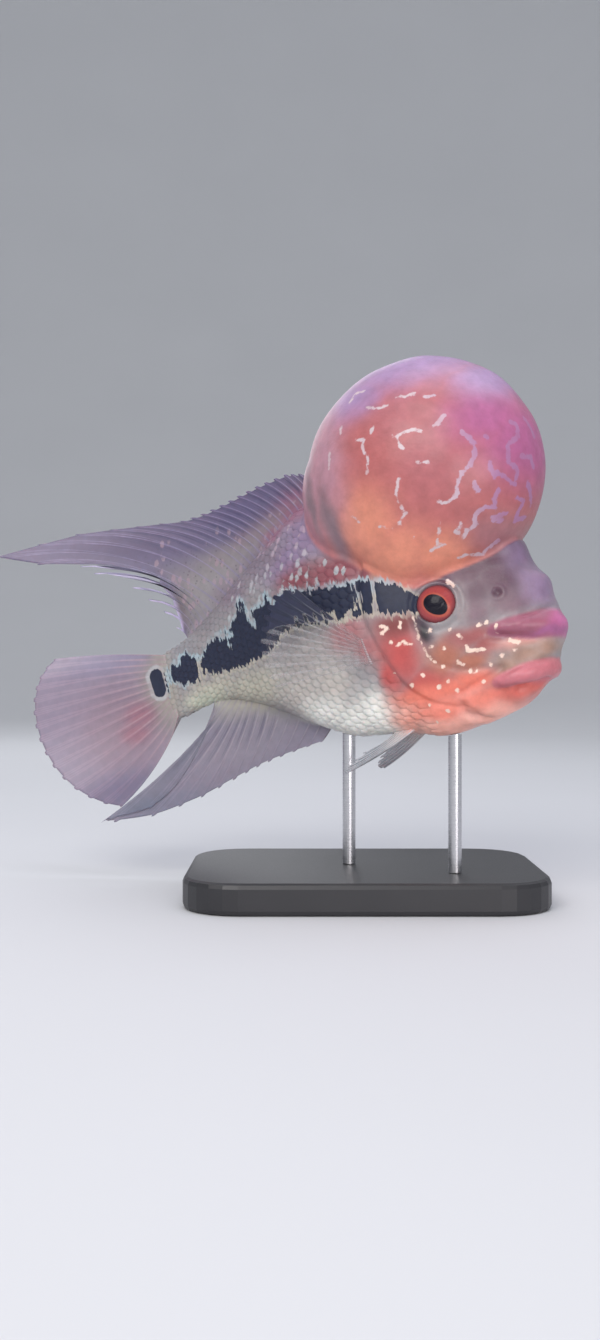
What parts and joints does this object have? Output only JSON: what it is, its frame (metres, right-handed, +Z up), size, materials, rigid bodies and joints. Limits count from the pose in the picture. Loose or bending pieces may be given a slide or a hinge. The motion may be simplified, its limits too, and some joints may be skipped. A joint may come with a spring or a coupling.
{
  "type": "flowerhorn cichlid display model",
  "caption": "Life-size still model of a flowerhorn cichlid with a large nuchal hump, swimming pose, held by rods on a flat base.",
  "frame": {"origin": "centre of the bounding box in plan, at the underside of the stand's base", "axes": "+X towards the fish's head, -Y towards its right side, which the picture shows, +Z up"},
  "size_m": [0.2394, 0.1164, 0.2118],
  "materials": {
    "head_skin": "wet, satin fish skin",
    "hump_skin": "wet, satin fish skin",
    "body_skin": "scaled, wet satin",
    "eye": "polished",
    "fin_membrane": "thin, translucent, satin",
    "fin_clear": "thin, nearly clear, satin",
    "stand_plate": "satin acrylic",
    "stand_metal": "brushed"
  },
  "bodies": {
    "root": {"head": "head_skin", "nuchal_hump": "hump_skin", "torso": "body_skin", "flank": "body_skin", "tail_peduncle": "body_skin", "eye_left": "eye", "eye_right": "eye", "dorsal_fin_spiny": "fin_membrane", "dorsal_fin_soft": "fin_membrane", "anal_fin": "fin_membrane", "caudal_fin": "fin_membrane", "pectoral_fin_left": "fin_clear", "pectoral_fin_right": "fin_clear", "pelvic_fin_left": "fin_clear", "pelvic_fin_right": "fin_clear", "stand_base": "stand_plate", "stand_rod_front": "stand_metal", "stand_rod_rear": "stand_metal"}
  },
  "joints": []
}
